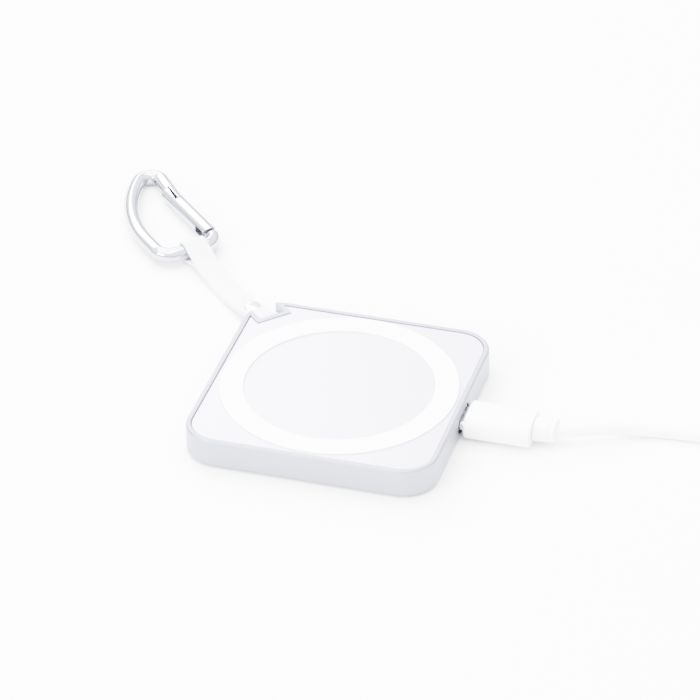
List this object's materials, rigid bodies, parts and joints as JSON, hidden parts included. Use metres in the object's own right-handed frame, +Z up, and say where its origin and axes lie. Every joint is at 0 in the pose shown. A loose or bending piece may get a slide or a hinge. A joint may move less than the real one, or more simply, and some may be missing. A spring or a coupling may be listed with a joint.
{
  "type": "wireless charging pad",
  "caption": "Slim square magnetic wireless charging pad with a metal frame, a raised round grip ring, a plugged-in USB cable and a strap with a small carabiner.",
  "frame": {"origin": "centre of the underside of the base pad, on the surface the charger lies on", "axes": "+Z up out of the charging face, +X out of the cable's port, +Y away from the user, towards the edge with the carabiner's corner"},
  "size_m": [0.2147, 0.1154, 0.008],
  "materials": {
    "satin_aluminium": "fine bead-blasted, clear anodised",
    "polished_aluminium": "polished",
    "panel": "smooth gloss, faintly cool white",
    "white_rubber": "soft matte silicone",
    "white_plastic": "satin moulded",
    "grey_rubber": "matte, grippy",
    "steel": "bright nickel plated",
    "board": "solder mask",
    "black_plastic": "moulded",
    "ferrite": "sintered, matte",
    "capacitor": "matte",
    "copper": "enamelled copper strand",
    "magnet": "nickel plated",
    "strap": "smooth pale synthetic leather",
    "cord_jacket": "smooth satin jacket"
  },
  "bodies": {
    "pad": {"frame": "satin_aluminium", "top_panel": "panel", "grip_ring": "white_rubber", "bottom_cover": "white_plastic", "base_pad": "grey_rubber", "screw_1": "steel", "screw_2": "steel", "screw_3": "steel", "screw_4": "steel", "circuit_board": "board", "charger_chip": "black_plastic", "power_inductor": "ferrite", "capacitor_1": "capacitor", "capacitor_2": "capacitor", "capacitor_3": "capacitor", "capacitor_4": "capacitor", "shield_plate": "steel", "ferrite_plate": "ferrite", "charging_coil": "copper", "temperature_sensor": "black_plastic", "magnet_holder": "white_plastic", "magnet_1": "magnet", "magnet_2": "magnet", "magnet_3": "magnet", "magnet_4": "magnet", "magnet_5": "magnet", "magnet_6": "magnet", "magnet_7": "magnet", "magnet_8": "magnet", "magnet_9": "magnet", "magnet_10": "magnet", "magnet_11": "magnet", "magnet_12": "magnet", "magnet_13": "magnet", "magnet_14": "magnet", "magnet_15": "magnet", "magnet_16": "magnet", "socket_shell": "steel", "socket_tongue": "black_plastic", "strap_pin": "steel"},
    "cable": {"plug_shell": "steel", "plug_insert": "black_plastic", "plug_overmold": "white_plastic", "strain_relief": "white_plastic", "cord": "cord_jacket", "cord_coil": "cord_jacket", "cord_tail": "cord_jacket", "coil_tie": "white_rubber", "usb_a_overmold": "white_plastic", "usb_a_shell": "steel", "usb_a_tongue": "black_plastic"},
    "strap": {"strap": "strap", "rivet_cap": "steel", "rivet_stud": "steel"},
    "carabiner": {"carabiner_body": "polished_aluminium"},
    "gate": {"carabiner_gate": "polished_aluminium", "gate_pivot_pin": "steel", "gate_spring": "steel"},
    "plunger": {"gate_plunger": "steel"}
  },
  "joints": [
    {"name": "plug_slide", "type": "slide", "parent": "pad", "child": "cable", "axis": [1, 0, 0], "range_m": [0, 0.012]},
    {"name": "strap_swing", "type": "hinge", "parent": "pad", "child": "strap", "pos_m": [-0.02546, 0.02546, 0.0041], "axis": [0.7071, 0.7071, 0], "range_deg": [-70, 85]},
    {"name": "carabiner_swing", "type": "hinge", "parent": "strap", "child": "carabiner", "pos_m": [-0.05317, 0.05317, 0.00285], "axis": [0.7071, 0.7071, 0], "range_deg": [-75, 75]},
    {"name": "gate_hinge", "type": "hinge", "parent": "carabiner", "child": "gate", "pos_m": [-0.05275, 0.06208, 0.00271], "axis": [-0.0162, 0.0162, 0.9997], "range_deg": [0, 18], "stiffness_Nm_per_rad": 0.03, "springref_deg": -17.19, "deforming": ["gate_spring"]},
    {"name": "plunger_slide", "type": "slide", "parent": "gate", "child": "plunger", "axis": [-0.7069, 0.7069, -0.023], "range_m": [0, 0.0004]}
  ],
  "couplings": [
    {"joint": "plunger_slide", "follows": "gate_hinge", "m_per_rad": 0.001}
  ]
}
